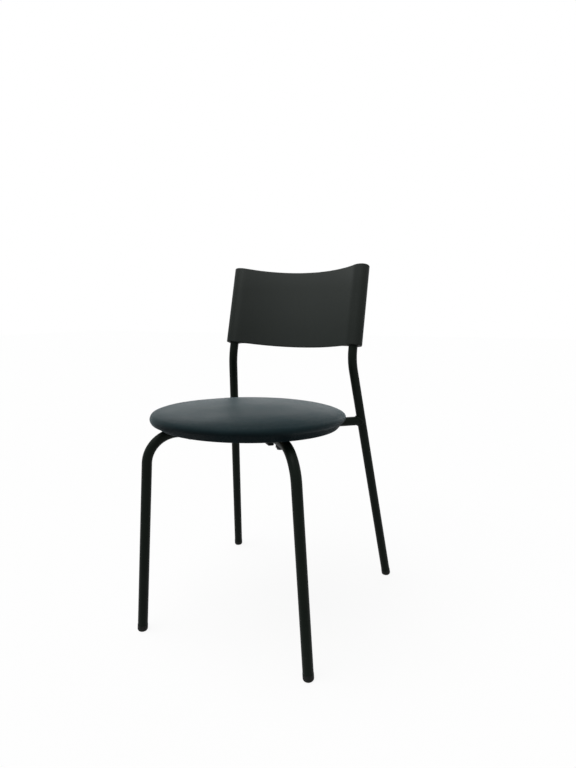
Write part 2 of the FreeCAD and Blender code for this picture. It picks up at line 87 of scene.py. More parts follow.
def size(name, default, description):
    """A length in metres that a user may change."""
    return FloatProperty(name=name, description=description, default=default, unit="LENGTH", precision=5)


def angle(name, degrees, description):
    """An angle that a user may change."""
    return FloatProperty(name=name, description=description, default=math.radians(degrees), subtype="ANGLE")


def share(name, default, description):
    """A fraction from nought to one."""
    limits = {"min": 0, "max": 1, "subtype": "FACTOR"}
    return FloatProperty(name=name, description=description, default=default, **limits)


def colour(name, default, description):
    """A colour in linear light."""
    return FloatVectorProperty(name=name, description=description, default=default, size=3, min=0, max=1,
                               subtype="COLOR")


def spot(name, default, description):
    """A point of the chair in metres."""
    return FloatVectorProperty(name=name, description=description, default=default, size=3,
                               subtype="TRANSLATION", unit="LENGTH", precision=5)


def number(name, default, description):
    """A plain number that isn't negative."""
    return FloatProperty(name=name, description=description, default=default, min=0)


def count(name, default, description):
    return IntProperty(name=name, description=description, default=default, min=1)


class ChairFrameSettings(bpy.types.PropertyGroup):
    """The painted tubes and the weld beads between them."""

    paint: colour("Paint", (0.0046, 0.0078, 0.0055), "Powder coat in the dark of its clouds")
    paint_pale: colour("Pale paint", (0.0072, 0.0112, 0.0082), "Powder coat in the light of its clouds")
    rub_wear_and_top_light: colour("Rubbed paint", (0.050, 0.052, 0.048), "Powder coat where shoes have rubbed the legs")
    grit: size("Grit", 0.0007, "Size of the coat's fine grit")
    peel: size("Orange peel", 0.0045, "Size of the soft ripples in the coat")
    rub_height: size("Rub height", 0.17, "Height up to which shoes rub the legs")
    tube_radius: size("Tube radius", 0.010, "Outer radius of the tubes")
    front_corner: spot("Front corner", (0.1562, -0.1889, 0.4137), "Axis corner of the right front leg")
    cross_joint: spot("Cross joint", (0.16691, 0.16306, 0.4008), "Where a cross tube meets the right leg")
    rear_foot: spot("Rear foot", (0.2112, 0.2480, 0.0), "Foot of the right rear leg's axis")
    bead: size("Weld bead", 0.0027, "Half the width of a weld bead")
    bead_set_back: size("Bead set back", 0.0030, "How far a bead is rounded off where tubes run together")
    ripple: size("Weld ripple", 0.0021, "Spacing of the ripples along a bead")
    ripple_depth: share("Ripple depth", 0.11, "Depth of the ripples as a share of the bead")


class ChairBackSettings(bpy.types.PropertyGroup):
    """The moulded backrest."""

    # Painted shade: the rolled ends take the darker plastic and the panel between them the paler one
    plastic: colour("Plastic", (0.0165, 0.0204, 0.0180), "Moulded plastic on the rolled ends")
    plastic_pale: colour("Pale plastic", (0.0276, 0.0323, 0.0297), "Moulded plastic that backs have rubbed")
    scuffed: colour("Scuffed plastic", (0.068, 0.070, 0.068), "Plastic in the fine scuffs")
    # Painted light: the paler plastic that the backrest passes into towards its top edge, as light from
    # above would make it
    top_light_plastic: colour("Handled plastic", (0.0560, 0.0620, 0.0585), "Plastic along the top, rubbed by hands")
    grain: size("Mould grain", 0.0009, "Size of the grain left by the mould")
    # Painted shade: shifts the shaded ends to the left, so that the right end's shade starts further in
    end_shade_shift_left: size("Rub to the left", 0.006, "How far left of the middle backs have rubbed the panel")
    roll: size("Roll", 0.138, "Distance from the middle to the rolled ends")
    top: size("Top", 0.754, "Height of the backrest's top edge")
    depth: size("Depth", 0.19, "Height of the backrest")


class ChairPadSettings(bpy.types.PropertyGroup):
    """The round padded seat, in a frame of its own that leans with the cross tubes."""

    base: spot("Base", (0.0, -0.0638, 0.409115), "Middle of the seat on the plane of the tube axes")
    tilt: angle("Tilt", 2.0990, "How far the seat leans back")
    radius: size("Radius", 0.195, "Widest radius of the pad")
    underside: size("Underside", 0.0123, "Height of the pad's underside over the tube axes")
    side: size("Side", 0.0201, "Height of the drawn-in side under the widest place")
    crown: size("Crown", 0.0235, "Height of the crown over the widest place")
    crown_turn: angle("Crown turn", 6.0, "Turn of the outline over the middle of the crown")
    puff_turn: angle("Puff turn", 19.0, "Turn of the outline over the puffed edge")
    shoulder: size("Shoulder", 0.008, "Radius of the outline at its widest place")
    tuck: angle("Tuck", 46.0, "Slope of the drawn-in side")
    hem: size("Hem", 0.006, "Radius of the turn under the board")
    margin: size("Margin", 0.140, "Inner radius of the cover's turned-under margin")
    board_radius: size("Board pocket", 0.1713, "Radius of the pocket for the board")
    board_under: size("Board underside", 0.0134, "Height of the pocket's lower face")
    board_top: size("Board top", 0.0271, "Height of the pocket's upper face")
    steps: count("Steps", 132, "Grid cells across the cover")
    slack: size("Slack", 0.0016, "How far the cover starts below its full crown")
    swell: size("Swell", 0.0032, "The most that a point may move as the pad is blown up")
    frames: count("Frames", 20, "Frames that the pad is blown up for")
    pressure: number("Pressure", 0.4, "Pressure in the pad")
    stretch: number("Stretch", 60.0, "Stiffness of the cover against stretching")
    squeeze: number("Squeeze", 5.0, "Stiffness of the cover against squeezing")
    bend: number("Bend", 10.0, "Stiffness of the cover against bending")
    full_way: angle("Full side", 204.7, "Way to the pad's fuller side, anticlockwise from its right")
    fuller: size("Fuller", 0.0042, "How far the roll stands out on the fuller side")
    tighter: size("Tighter", 0.0012, "How far the roll is drawn in on the other side")
    settled: size("Settled", 0.0020, "How far the puffed edge has settled on the fuller side")
    pleats: count("Pleats", 44, "Pleats round the turned-under margin")
    pleat_depth: size("Pleat depth", 0.0013, "How far the pleats stand off the board")
    cover: colour("Cover", (0.0104, 0.0222, 0.0258), "Leatherette in the dark of its clouds")
    cover_pale: colour("Pale cover", (0.0130, 0.0265, 0.0305), "Leatherette in the light of its clouds")
    crease: colour("Crease", (0.0067, 0.0144, 0.0170), "Leatherette in the creases of its grain")
    # Painted shade: a darker leatherette on the drawn-in side and the turned-under margin, where shade
    # falls, and how far it reaches
    shaded_tuck: colour("Soiled cover", (0.0034, 0.0060, 0.0075), "Leatherette darkened on the drawn-in side")
    tuck_shade_rise: share("Soil rise", 0.38, "How far the soil reaches up the shoulder, as a share of its radius")
    full_side_shade: share("Full side soil", 0.25, "How far the roll is soiled on the fuller side")
    tuck_shade_fall: share("Soil fall", 0.5, "How much lower the soil starts on the tighter side")
    margin_shade: share("Margin soil", 0.45, "How far the turned-under margin is soiled")
    pebble: size("Pebble", 0.0013, "Size of the leatherette's grain")


class ChairFixingSettings(bpy.types.PropertyGroup):
    """Feet, bumpers, seat board and the small hardware under the seat."""

    foot: colour("Foot", (0.0110, 0.0125, 0.0115), "Plastic of the foot caps")
    bumper: colour("Bumper", (0.0095, 0.0100, 0.0098), "Rubber of the stacking bumpers")
    saddle: colour("Saddle", (0.0120, 0.0125, 0.0125), "Plastic of the seat saddles")
    dust: colour("Dust", (0.085, 0.080, 0.072), "Dust and scuffs near the floor")
    blacked: colour("Blacked steel", (0.018, 0.018, 0.019), "Blacked steel of screws and washers")
    plated: colour("Plated steel", (0.56, 0.57, 0.58), "Zinc of tee nuts and staples")
    wood: colour("Board", (0.40, 0.26, 0.145), "Pale veneer of the seat board")
    wood_dark: colour("Dark board", (0.23, 0.135, 0.066), "Dark figure of the seat board")
    foam: colour("Foam", (0.62, 0.55, 0.38), "Foam in the pad")


class ChairStageSettings(bpy.types.PropertyGroup):
    """Camera, lamps and floor."""

    camera: spot("Camera", (0.52044, -1.00738, 0.65409), "Place of the camera")
    yaw: angle("Yaw", 24.684, "Turn of the camera to the left of straight ahead")
    pitch: angle("Pitch", 7.920, "How far the camera looks down")
    roll: angle("Roll", -0.162, "Turn of the camera about its own axis")
    lens: number("Lens", 25.325, "Focal length in millimetres")
    floor: size("Floor", 24.0, "Side of the square floor")
    floor_seen: colour("Floor seen", (0.97, 0.97, 0.97), "Colour of the floor as it is seen")
    floor_lit: colour("Floor lit", (0.45, 0.45, 0.45), "Colour of the floor as it throws light back")
    floor_glow: share("Floor glow", 0.90, "Share of the floor that shows plain white to the camera")
    ambient: share("Ambient", 0.28, "Brightness of the light from all round")
    key: number("Key lamp", 2.1, "Strength of the broad lamp high in front")
    key_way: spot("Key direction", (-0.22, -0.28, 0.90), "Which way the key lamp lies")
    rim: number("Rim lamp", 0.34, "Strength of the broad lamp low behind")
    rim_way: spot("Rim direction", (-0.28, 0.88, 0.38), "Which way the rim lamp lies")
    softness: angle("Softness", 55.0, "Width of the lamps as seen from the chair")


class Term:
    """A shader socket that takes part in sums: each operator adds one Math node and gives its result."""

    def __init__(self, nodes, socket):
        self.nodes = nodes
        self.socket = socket

    def step(self, operation, first, second):
        return self.nodes.node("ShaderNodeMath", {"operation": operation}, {0: first, 1: second})["Value"]

    def __add__(self, other):
        return self.step("ADD", self, other)

    def __radd__(self, other):
        return self.step("ADD", other, self)

    def __sub__(self, other):
        return self.step("SUBTRACT", self, other)

    def __rsub__(self, other):
        return self.step("SUBTRACT", other, self)

    def __mul__(self, other):
        return self.step("MULTIPLY", self, other)

    def __rmul__(self, other):
        return self.step("MULTIPLY", other, self)

    def __or__(self, other):
        return self.step("MAXIMUM", self, other)

    def __ror__(self, other):
        return self.step("MAXIMUM", other, self)

    def ramp(self, start, end):
        """Rises smoothly from nought at start to one at end, or falls where end is the smaller."""
        settings = {"interpolation_type": "SMOOTHSTEP"}
        sockets = {"Value": self, "From Min": start, "From Max": end}
        return self.nodes.node("ShaderNodeMapRange", settings, sockets)["Result"]


class Nodes:
    """The nodes of one material or world."""

    def __init__(self, owner):
        owner.use_nodes = True
        self.owner = owner
        self.tree = owner.node_tree
        self.tree.nodes.clear()

    def node(self, kind, settings=None, sockets=None):
        """Adds a node, sets its settings and then its sockets, and gives its outputs by name."""
        made = self.tree.nodes.new(kind)
        for key, value in (settings or {}).items():
            setattr(made, key, value)
        for key, value in (sockets or {}).items():
            socket = made.inputs[key] if isinstance(key, int) else self.named(made, key)
            if isinstance(value, Term):
                self.tree.links.new(value.socket, socket)
            else:
                socket.default_value = value
        return {output.name: Term(self, output) for output in made.outputs if output.enabled}

    @staticmethod
    def named(made, name):
        """The input of this name that the node's settings leave in use."""
        return next(socket for socket in made.inputs if socket.name == name and socket.enabled)

    def place(self, stretch=(1, 1, 1)):
        """Object coordinates, drawn out along an axis by a number under one."""
        where = self.node("ShaderNodeTexCoord")["Object"]
        return self.node("ShaderNodeMapping", {}, {"Vector": where, "Scale": stretch})["Vector"]

    def height(self):
        return self.node("ShaderNodeSeparateXYZ", {}, {"Vector": self.place()})["Z"]

    def sideways(self, off):
        """Distance from a plane that lies off to the left of the chair's middle."""
        across = self.node("ShaderNodeSeparateXYZ", {}, {"Vector": self.place()})["X"] + off
        return across | 0 - across

    def attribute(self, name):
        """A number that the mesh carries at each point."""
        return self.node("ShaderNodeAttribute", {"attribute_name": name})["Fac"]

    def noise(self, feature, detail=2.0, rough=0.5, stretch=(1, 1, 1)):
        """Soft noise whose lumps are about as large as feature, in metres."""
        sockets = {"Vector": self.place(stretch), "Scale": 1 / feature, "Detail": detail, "Roughness": rough}
        return self.node("ShaderNodeTexNoise", {}, sockets)["Fac"]

    def cells(self, feature, measure):
        """Distances in a cell pattern whose cells are about as large as feature, in metres."""
        sockets = {"Vector": self.place(), "Scale": 1 / feature}
        return self.node("ShaderNodeTexVoronoi", {"feature": measure}, sockets)["Distance"]

    def blend(self, factor, first, second):
        """One colour passing into another."""
        sockets = {"Factor": factor, "A": rgba(first), "B": rgba(second)}
        return self.node("ShaderNodeMix", {"data_type": "RGBA"}, sockets)["Result"]

    def bump(self, height, depth):
        """The normal of a surface with this relief, depth in metres."""
        return self.node("ShaderNodeBump", {}, {"Height": height, "Distance": depth})["Normal"]

    def shader(self, base, rough, normal, **constants):
        """A Principled shader. Constants go on its own sockets."""
        sockets = {"Base Color": base, "Roughness": rough, "Normal": normal}
        sockets.update({name.replace("_", " "): value for name, value in constants.items()})
        return self.node("ShaderNodeBsdfPrincipled", {}, sockets)["BSDF"]

    def surface(self, base, rough, normal, **constants):
        """A Principled shader as the material's whole surface."""
        return self.finish(self.shader(base, rough, normal, **constants))

    def mixed(self, factor, first, second):
        """One shader passing into another."""
        return self.node("ShaderNodeMixShader", {}, {0: factor, 1: first, 2: second})["Shader"]

    def finish(self, shader):
        self.node("ShaderNodeOutputMaterial", {}, {"Surface": shader})
        return self.owner

    def seen(self):
        """One for the rays that see the background, straight, mirrored or through glass."""
        path = self.node("ShaderNodeLightPath")
        return path["Is Camera Ray"] | path["Is Glossy Ray"] | path["Is Transmission Ray"]


def rgba(value):
    """A colour as a socket wants it, or a link left as it is."""
    return value if isinstance(value, Term) else (*value, 1.0)


def new_nodes(name):
    return Nodes(bpy.data.materials.new(name))


def specular(level):
    return {"Specular IOR Level": level}


def frame_paint(look):
    """Black powder coat: fine grit on soft orange peel, cloudy in tone, rubbed paler low on the legs."""
    nodes = new_nodes("black_powder_coat")
    grit = nodes.noise(look.grit, detail=3)
    peel = nodes.noise(look.peel, detail=1)
    cloud = nodes.noise(0.08, detail=4).ramp(0.32, 0.68)
    streak = nodes.noise(0.0022, detail=4, rough=0.6, stretch=(1, 1, 0.16))
    rub = streak.ramp(0.60, 0.74) * nodes.height().ramp(look.rub_height, 0.02)
    tone = nodes.blend(cloud, look.paint, look.paint_pale)
    return nodes.surface(
        nodes.blend(rub * 0.45, tone, look.rub_wear_and_top_light),
        0.36 + cloud * 0.08 + grit * 0.08 + rub * 0.12,
        nodes.bump(peel * 0.6 + grit * 0.5, 0.00010),
        **specular(0.065))


def weld_metal(look):
    """Painted weld bead: the frame's coat, thicker and smoother, with small spatter."""
    nodes = new_nodes("painted_weld")
    grit = nodes.noise(look.grit, detail=3)
    spatter = nodes.cells(0.0024, "F1").ramp(0.30, 0.10)
    cloud = nodes.noise(0.006, detail=3).ramp(0.3, 0.7)
    return nodes.surface(
        nodes.blend(cloud, look.paint, look.paint_pale),
        0.38 + cloud * 0.12,
        nodes.bump(spatter * 0.5 + grit * 0.5, 0.00015),
        **specular(0.07))


def back_plastic(look):
    """Dark grey moulded plastic: even mould grain, faint flow clouds, a few fine scuffs, painted shade on
    the rolled ends and painted light towards the top.
    """
    nodes = new_nodes("moulded_back_plastic")
    grain = nodes.cells(look.grain, "SMOOTH_F1")
    fine = nodes.noise(look.grain * 0.45, detail=2)
    cloud = nodes.noise(0.07, detail=4).ramp(0.30, 0.70)
    scratch = nodes.noise(0.0016, detail=3, rough=0.6, stretch=(0.05, 1, 1))
    worn = nodes.noise(0.045, detail=2).ramp(0.52, 0.70)
    scuff = scratch.ramp(0.66, 0.76) * worn
    height = nodes.height()
    # Painted light: the panel grows paler towards its top edge, as light from above would make it, and a
    # little less rough there
    rub_wear_and_top_light = height.ramp(look.top - look.depth, look.top - 0.05) * 0.37
    rub_wear_and_top_light = rub_wear_and_top_light + height.ramp(look.top - 0.06, look.top) * 0.5
    # Painted shade: the rolled ends are darkened, the right one from further in
    panel = nodes.sideways(look.end_shade_shift_left).ramp(look.roll + 0.012, look.roll)
    tone = nodes.blend(panel * 0.8 + cloud * 0.2, look.plastic, look.plastic_pale)
    tone = nodes.blend(rub_wear_and_top_light * (0.25 + panel * 0.75), tone, look.top_light_plastic)
    return nodes.surface(
        nodes.blend(scuff * 0.35, tone, look.scuffed),
        0.50 + cloud * 0.07 + fine * 0.08 + scuff * 0.10 - rub_wear_and_top_light * 0.12,
        nodes.bump(grain * 0.7 + fine * 0.4, 0.00007),
        **specular(0.10))


def leatherette(pad):
    """Coated seat fabric: pebbles parted by fine creases, cloudy in tone, and darker and duller on the
    drawn-in side, where shade is painted.
    """
    nodes = new_nodes("seat_leatherette")
    crease = nodes.cells(pad.pebble, "DISTANCE_TO_EDGE").ramp(0.16, 0.02)
    pebble = nodes.cells(pad.pebble, "F1")
    pores = nodes.noise(pad.pebble * 0.3, detail=2)
    stretch_marks = nodes.noise(0.010, detail=4, rough=0.55)
    cloud = nodes.noise(0.06, detail=3).ramp(0.30, 0.70)
    tone = nodes.blend(cloud, pad.cover, pad.cover_pale)
    relief = (1 - crease) * 0.55 - pebble * 0.35 + pores * 0.12 + stretch_marks * 0.6
    normal = nodes.bump(relief, 0.00012)
    rough = 0.30 + crease * 0.14 + cloud * 0.06 + pores * 0.05
    sat_on = nodes.shader(
        nodes.blend(crease * 0.55, tone, pad.crease),
        rough,
        normal,
        **specular(0.048),
        Sheen_Weight=0.28,
        Sheen_Roughness=0.25,
        Sheen_Tint=(0.60, 0.90, 1.0, 1.0))
    # Painted shade: the drawn-in side takes a darker, duller leatherette without sheen
    shaded_tuck = nodes.shader(
        nodes.blend(crease * 0.4, nodes.blend(cloud, pad.shaded_tuck, pad.crease), pad.shaded_tuck),
        rough + 0.18,
        normal,
        **specular(0.015))
    return nodes.finish(nodes.mixed(nodes.attribute("painted_tuck_shade") * (0.85 + cloud * 0.15), sat_on, shaded_tuck))


def moulded(name, plain, dust, grain, rough):
    """Small black moulding: fine grain, clouds, and dust rubbed into it near the floor."""
    nodes = new_nodes(name)
    fine = nodes.noise(grain, detail=3)
    cloud = nodes.noise(0.012, detail=3).ramp(0.30, 0.70)
    scrape = nodes.noise(0.0015, detail=4, rough=0.65, stretch=(1, 1, 0.3)).ramp(0.50, 0.70)
    low = nodes.height().ramp(0.012, 0.0)
    dirt = low * (0.10 + scrape * 0.45)
    paler = tuple(1.35 * part for part in plain)
    return nodes.surface(
        nodes.blend(dirt, nodes.blend(cloud, plain, paler), dust),
        rough + cloud * 0.08 + fine * 0.06 + dirt * 0.15,
        nodes.bump(fine + scrape * low, 0.00008),
        **specular(0.08))


def steel(name, plain, rough, metallic):
    """Small hardware: fine tumbling marks and cloudy plating."""
    nodes = new_nodes(name)
    marks = nodes.noise(0.0006, detail=3)
    cloud = nodes.noise(0.004, detail=3).ramp(0.3, 0.7)
    darker = tuple(0.72 * part for part in plain)
    return nodes.surface(
        nodes.blend(cloud, darker, plain),
        rough + cloud * 0.12 + marks * 0.08,
        nodes.bump(marks, 0.00005),
        Metallic=metallic)


def veneer(fixing):
    """Rotary-cut veneer: long wandering figure across the board, short dark flecks, a dry face."""
    nodes = new_nodes("seat_board_veneer")
    figure = nodes.noise(0.020, detail=4, rough=0.55, stretch=(0.10, 1, 1)).ramp(0.34, 0.66)
    fibre = nodes.noise(0.0012, detail=3, rough=0.6, stretch=(0.06, 1, 1))
    fleck = nodes.noise(0.0018, detail=1, stretch=(0.18, 1, 1)).ramp(0.68, 0.76)
    tone = nodes.blend(figure, fixing.wood, fixing.wood_dark)
    darkest = tuple(0.5 * part for part in fixing.wood_dark)
    return nodes.surface(
        nodes.blend(fleck * 0.7, tone, darkest),
        0.62 + fibre * 0.16,
        nodes.bump(fibre + fleck * -0.5, 0.00014),
        **specular(0.25))


def foam_cells(fixing):
    """Open foam: small round cells of two sizes."""
    nodes = new_nodes("pad_foam")
    cells = nodes.cells(0.0016, "F1")
    cloud = nodes.noise(0.03, detail=3).ramp(0.3, 0.7)
    darker = tuple(0.8 * part for part in fixing.foam)
    return nodes.surface(
        nodes.blend(cloud, fixing.foam, darker),
        0.85 + cells * 0.1,
        nodes.bump(cells, 0.0004),
        **specular(0.1))


def give(nodes, material):
    """Puts a finish on CAD nodes."""
    for name in nodes:
        for slot in bpy.data.objects[name].material_slots:
            slot.material = material


def mesh_piece(name, points, faces, material):
    """A smooth mesh object at the origin from an array of points and lists of corners."""
    mesh = bpy.data.meshes.new(name)
    mesh.from_pydata(points.tolist(), [], faces)
    if mesh.validate():
        raise RuntimeError(name + " has faces that do not hold together")
    mesh.polygons.foreach_set("use_smooth", np.ones(len(mesh.polygons), dtype=bool))
    mesh.materials.append(material)
    mesh.update()
    piece = bpy.data.objects.new(name, mesh)
    bpy.context.scene.collection.objects.link(piece)
    return piece


def unit(vector):
    return vector / np.linalg.norm(vector)


def mirrored(point):
    return point * np.array((-1.0, 1.0, 1.0))


def bead_points(joint, along, other, look):
    """A rippled bead where a tube along one axis ends on a tube of the same radius along another.

    A point of the tube's skin at an angle has the offset o = radius (cos e1 + sin e2). It also lies on the
    other tube at the distance t = (c a - |a|) / (1 - c c) before the joint, with a the part of o along the
    other axis and c the cosine between the axes. |a| is taken as the root of a a + set back squared, which
    rounds the bead off where the two tubes run together. A flattened circle is carried along that line, its
    radius rising and falling with the ripples, whose spacing and width wander in slow waves.
    """
    radius = look.tube_radius
    first = unit(np.cross(along, other))
    second = np.cross(along, first)
    turn = np.linspace(0, FULL_TURN, BEAD_AROUND, endpoint=False)
    offset = radius * (np.cos(turn)[:, None] * first + np.sin(turn)[:, None] * second)
    lean = along @ other
    part = offset @ other
    reach = np.sqrt(part ** 2 + look.bead_set_back ** 2)
    back = (lean * part - reach) / (1 - lean ** 2)
    line = joint + offset + back[:, None] * along

    ahead = unit_rows(np.roll(line, -1, axis=0) - np.roll(line, 1, axis=0))
    out = unit_rows(offset - (offset * ahead).sum(axis=1)[:, None] * ahead)
    side = np.cross(ahead, out)

    length = np.linalg.norm(np.roll(line, -1, axis=0) - line, axis=1).sum()
    ripples = round(length / look.ripple)
    wave = np.sin(ripples * turn + 0.8 * np.sin(3 * turn) + 0.5 * np.sin(5 * turn + 1.0))
    wander = 0.06 * np.sin(4 * turn + 0.6) + 0.04 * np.sin(7 * turn)
    bead = look.bead * (1 + look.ripple_depth * wave + wander)
    ring = np.linspace(0, FULL_TURN, BEAD_ACROSS, endpoint=False)[None, :, None]
    section = BEAD_FLATNESS * np.cos(ring) * out[:, None, :] + np.sin(ring) * side[:, None, :]
    return line[:, None, :] + bead[:, None, None] * section


def unit_rows(vectors):
    return vectors / np.linalg.norm(vectors, axis=1)[:, None]


def ring_faces(around, across, start):
    """Faces of a closed ring of closed sections, pointing outwards."""
    i, j = np.meshgrid(np.arange(around), np.arange(across), indexing="ij")
    ahead = (i + 1) % around
    beside = (j + 1) % across
    here, there = i * across, ahead * across
    corners = np.stack((here + j, here + beside, there + beside, there + j), axis=-1)
    return (start + corners.reshape(-1, 4)).tolist()


def weld_piece(name, joints, look, material):
    """Beads round joints as one piece. A joint is its point, the way of the ended tube and of the other."""
    points = []
    faces = []
    for joint, along, other in joints:
        bead = bead_points(joint, along, other, look)
        faces += ring_faces(bead.shape[0], bead.shape[1], sum(len(part) for part in points))
        points.append(bead.reshape(-1, 3))
    return mesh_piece(name, np.concatenate(points), faces, material)


def pad_outline(pad):
    """The pad's half section as radius and height along a fine line, from the crown to the end of the hem.

    The heading turns evenly along each run: crown, puffed edge, shoulder, straight tuck and hem. Radius and
    height are the running sums of its cosine and sine. Crown and puff take the radii that bring the outline
    to its width and its crown height.
    """
    far = pad.crown_turn + pad.puff_turn
    rows = np.array((
        (math.sin(pad.crown_turn), math.sin(far) - math.sin(pad.crown_turn)),
        (1 - math.cos(pad.crown_turn), math.cos(pad.crown_turn) - math.cos(far)),
    ))
    width = pad.radius - pad.shoulder * (1 - math.sin(far))
    rise = pad.crown - pad.shoulder * math.cos(far)
    crown_radius, puff_radius = np.linalg.solve(rows, (width, rise))
    drop = pad.side - pad.shoulder * math.cos(pad.tuck) - pad.hem * (1 - math.cos(pad.tuck))
    turns = np.array((pad.crown_turn, pad.puff_turn, math.pi - far - pad.tuck, 0.0, pad.tuck))
    radii = np.array((crown_radius, puff_radius, pad.shoulder, 0.0, pad.hem))
    runs = turns * radii
    runs[3] = drop / math.sin(pad.tuck)

    knots = np.concatenate(((0.0,), np.cumsum(runs)))
    walk = np.linspace(0, knots[-1], OUTLINE_MARKS)
    middle = (walk[1:] + walk[:-1]) / 2
    heading = np.interp(middle, knots, np.concatenate(((0.0,), np.cumsum(turns))))
    pace = walk[1]
    radius = np.concatenate(((0.0,), np.cumsum(np.cos(heading)) * pace))
    fall = np.concatenate(((0.0,), np.cumsum(np.sin(heading)) * pace))
    return walk, radius, pad.underside + pad.side + pad.crown - fall


def square_on_disc(steps):
    """A square grid laid over a unit disc: x = u sqrt(1 - v v / 2) and y = v sqrt(1 - u u / 2)."""
    mark = np.linspace(-1, 1, steps + 1)
    u, v = np.meshgrid(mark, mark, indexing="ij")
    return u * np.sqrt(1 - v * v / 2), v * np.sqrt(1 - u * u / 2)


def square_rim(steps):
    """Numbers of the square grid's outer points, anticlockwise from above."""
    wide = steps + 1
    run = np.arange(steps)
    return np.concatenate((run * wide, steps * wide + run, (steps - run) * wide + steps, steps - run))


def step_up(value, start, end):
    """Rises smoothly from nought at start to one at end: 3 t t - 2 t t t."""
    t = np.clip((value - start) / (end - start), 0, 1)
    return t * t * (3 - 2 * t)


def uneven_stuffing(pad, way, around, widest, end):
    """How far the skin stands out from its even section, square to it.

    Along the section it is a squared half wave under the widest place and another over it. Round the pad it
    steps up with the cosine of the angle from the fuller side: there the roll under the widest place is
    fuller and the puffed edge over it has settled, and on the other side the roll is tighter.
    """
    towards = np.cos(around - pad.full_way)
    under = np.sin(np.pi * np.clip((way - widest + pad.shoulder / 2) / (end - widest), 0, 1)) ** 2
    over = np.sin(np.pi * np.clip((way / widest - SETTLED_FROM) / (1 - SETTLED_FROM), 0, 1)) ** 2
    roll = pad.fuller * step_up(towards, *FULL_ROLL) - pad.tighter * step_up(-towards, *TIGHT_ROLL)
    return under * roll - over * pad.settled * step_up(towards, *SETTLED_EDGE)


def pad_points(pad):
    """Points and faces of the closed pad in its own frame, the count of points in its upper skin, and how
    strongly each point is darkened by painted shade.

    The skin is the square grid on a disc: the disc's radius is the way walked along the outline, drawn
    closer towards the rim, and its angle is the angle round the pad. From the rim, rings run on: the
    margin under the board, whose pleats are the sine of the angle to a high power, and the board's pocket.
    Shade is painted on the drawn-in side: it rises along the shoulder from just over the widest place, is
    fainter on the fuller side, and starts lower on the tighter side but for its tip.
    """
    steps = pad.steps
    x, y = square_on_disc(steps)
    spread = np.sqrt(x * x + y * y)
    walk, radius, height = pad_outline(pad)
    way = walk[-1] * ((1 + RIM_CROWDING) * spread - RIM_CROWDING * spread ** 3)
    around = np.arctan2(y, x)
    widest = walk[np.argmax(radius)]
    proud = uneven_stuffing(pad, way, around, widest, walk[-1])
    out = np.interp(way, walk, radius) - proud * np.interp(way, walk, np.gradient(height, walk))
    rise = np.interp(way, walk, height) + proud * np.interp(way, walk, np.gradient(radius, walk))
    slack = pad.slack * np.clip(1 - way / walk[-1] / SLACK_REACH, 0, 1)
    safe = np.where(spread > 0, spread, 1)
    skin = np.stack((out * x / safe, out * y / safe, rise - slack), axis=-1)
    skin = skin.reshape(-1, 3)

    rim = square_rim(steps)
    round_angle = around.ravel()[rim]
    reach = np.linspace(radius[-1], pad.margin, MARGIN_RINGS + 1)[1:]
    wander = 0.7 * np.sin(3 * round_angle) + 0.4 * np.sin(8 * round_angle)
    fold = np.abs(np.sin(pad.pleats / 2 * round_angle + wander)) ** PLEAT_SHARPNESS
    grow = np.clip((radius[-1] - reach) / (radius[-1] - pad.margin), 0, 1) ** PLEAT_GROWTH
    low = pad.underside - pad.pleat_depth * grow[:, None] * fold[None, :]
    pocket = np.array((
        (pad.margin, pad.board_under),
        ((pad.margin + pad.board_radius) / 2, pad.board_under),
        (pad.board_radius, pad.board_under),
        (pad.board_radius, pad.board_top),
        (pad.board_radius / 2, pad.board_top),
        (pad.board_radius / 40, pad.board_top),
    ))
    ring_radius = np.concatenate((reach, pocket[:, 0]))
    ring_height = np.concatenate((low, np.repeat(pocket[:, 1:], len(rim), axis=1)))
    rings = np.stack((
        ring_radius[:, None] * np.cos(round_angle)[None, :],
        ring_radius[:, None] * np.sin(round_angle)[None, :],
        ring_height,
    ), axis=-1)
    middle = np.array(((0.0, 0.0, pad.board_top),))
    points = np.concatenate((skin, rings.reshape(-1, 3), middle))
    # Painted shade: how dark each point is on the drawn-in side and under the board
    painted_tuck_shade = np.full(len(points), pad.margin_shade)
    towards = np.cos(around - pad.full_way)
    tuck_shade_strength = 1 - (1 - pad.full_side_shade) * step_up(towards, *FAINT_SHADE_ROLL)
    lower = step_up(-towards, *TIGHT_ROLL) - 2 * step_up(-towards, *TIGHT_TIP)
    start = pad.tuck_shade_rise - pad.tuck_shade_fall * lower
    painted_tuck_shade[:len(skin)] = (tuck_shade_strength * np.clip((way - widest) / pad.shoulder + start, 0, 1)).ravel()
    return points, pad_faces(steps, rim, len(ring_radius)), len(skin), painted_tuck_shade


def grid_faces(steps):
    """Quads of a square grid of points, pointing up."""
    i, j = np.meshgrid(np.arange(steps), np.arange(steps), indexing="ij")
    corner = (i * (steps + 1) + j).ravel()
    return np.stack((corner, corner + steps + 1, corner + steps + 2, corner + 1), axis=-1)


def pad_faces(steps, rim, rings):
    """Quads of the skin, quads of the rings under it, and the fan that closes the pocket."""
    first = (steps + 1) ** 2
    hoops = np.concatenate((rim[None, :], first + np.arange(rings * len(rim)).reshape(rings, -1)))
    upper, lower = hoops[:-1], hoops[1:]
    beside = (np.roll(lower, -1, axis=1), np.roll(upper, -1, axis=1))
    band = np.stack((upper, lower, *beside), axis=-1).reshape(-1, 4)
    last = hoops[-1]
    fan = np.stack((last, np.full(len(last), first + rings * len(rim)), np.roll(last, -1)), axis=-1)
    return grid_faces(steps).tolist() + band.tolist() + fan.tolist()


def on_seat(points, pad):
    """Points of the seat's own frame in the chair's frame."""
    turn = np.array(Matrix.Rotation(-pad.tilt, 3, "X"))
    return points @ turn.T + np.array(pad.base)


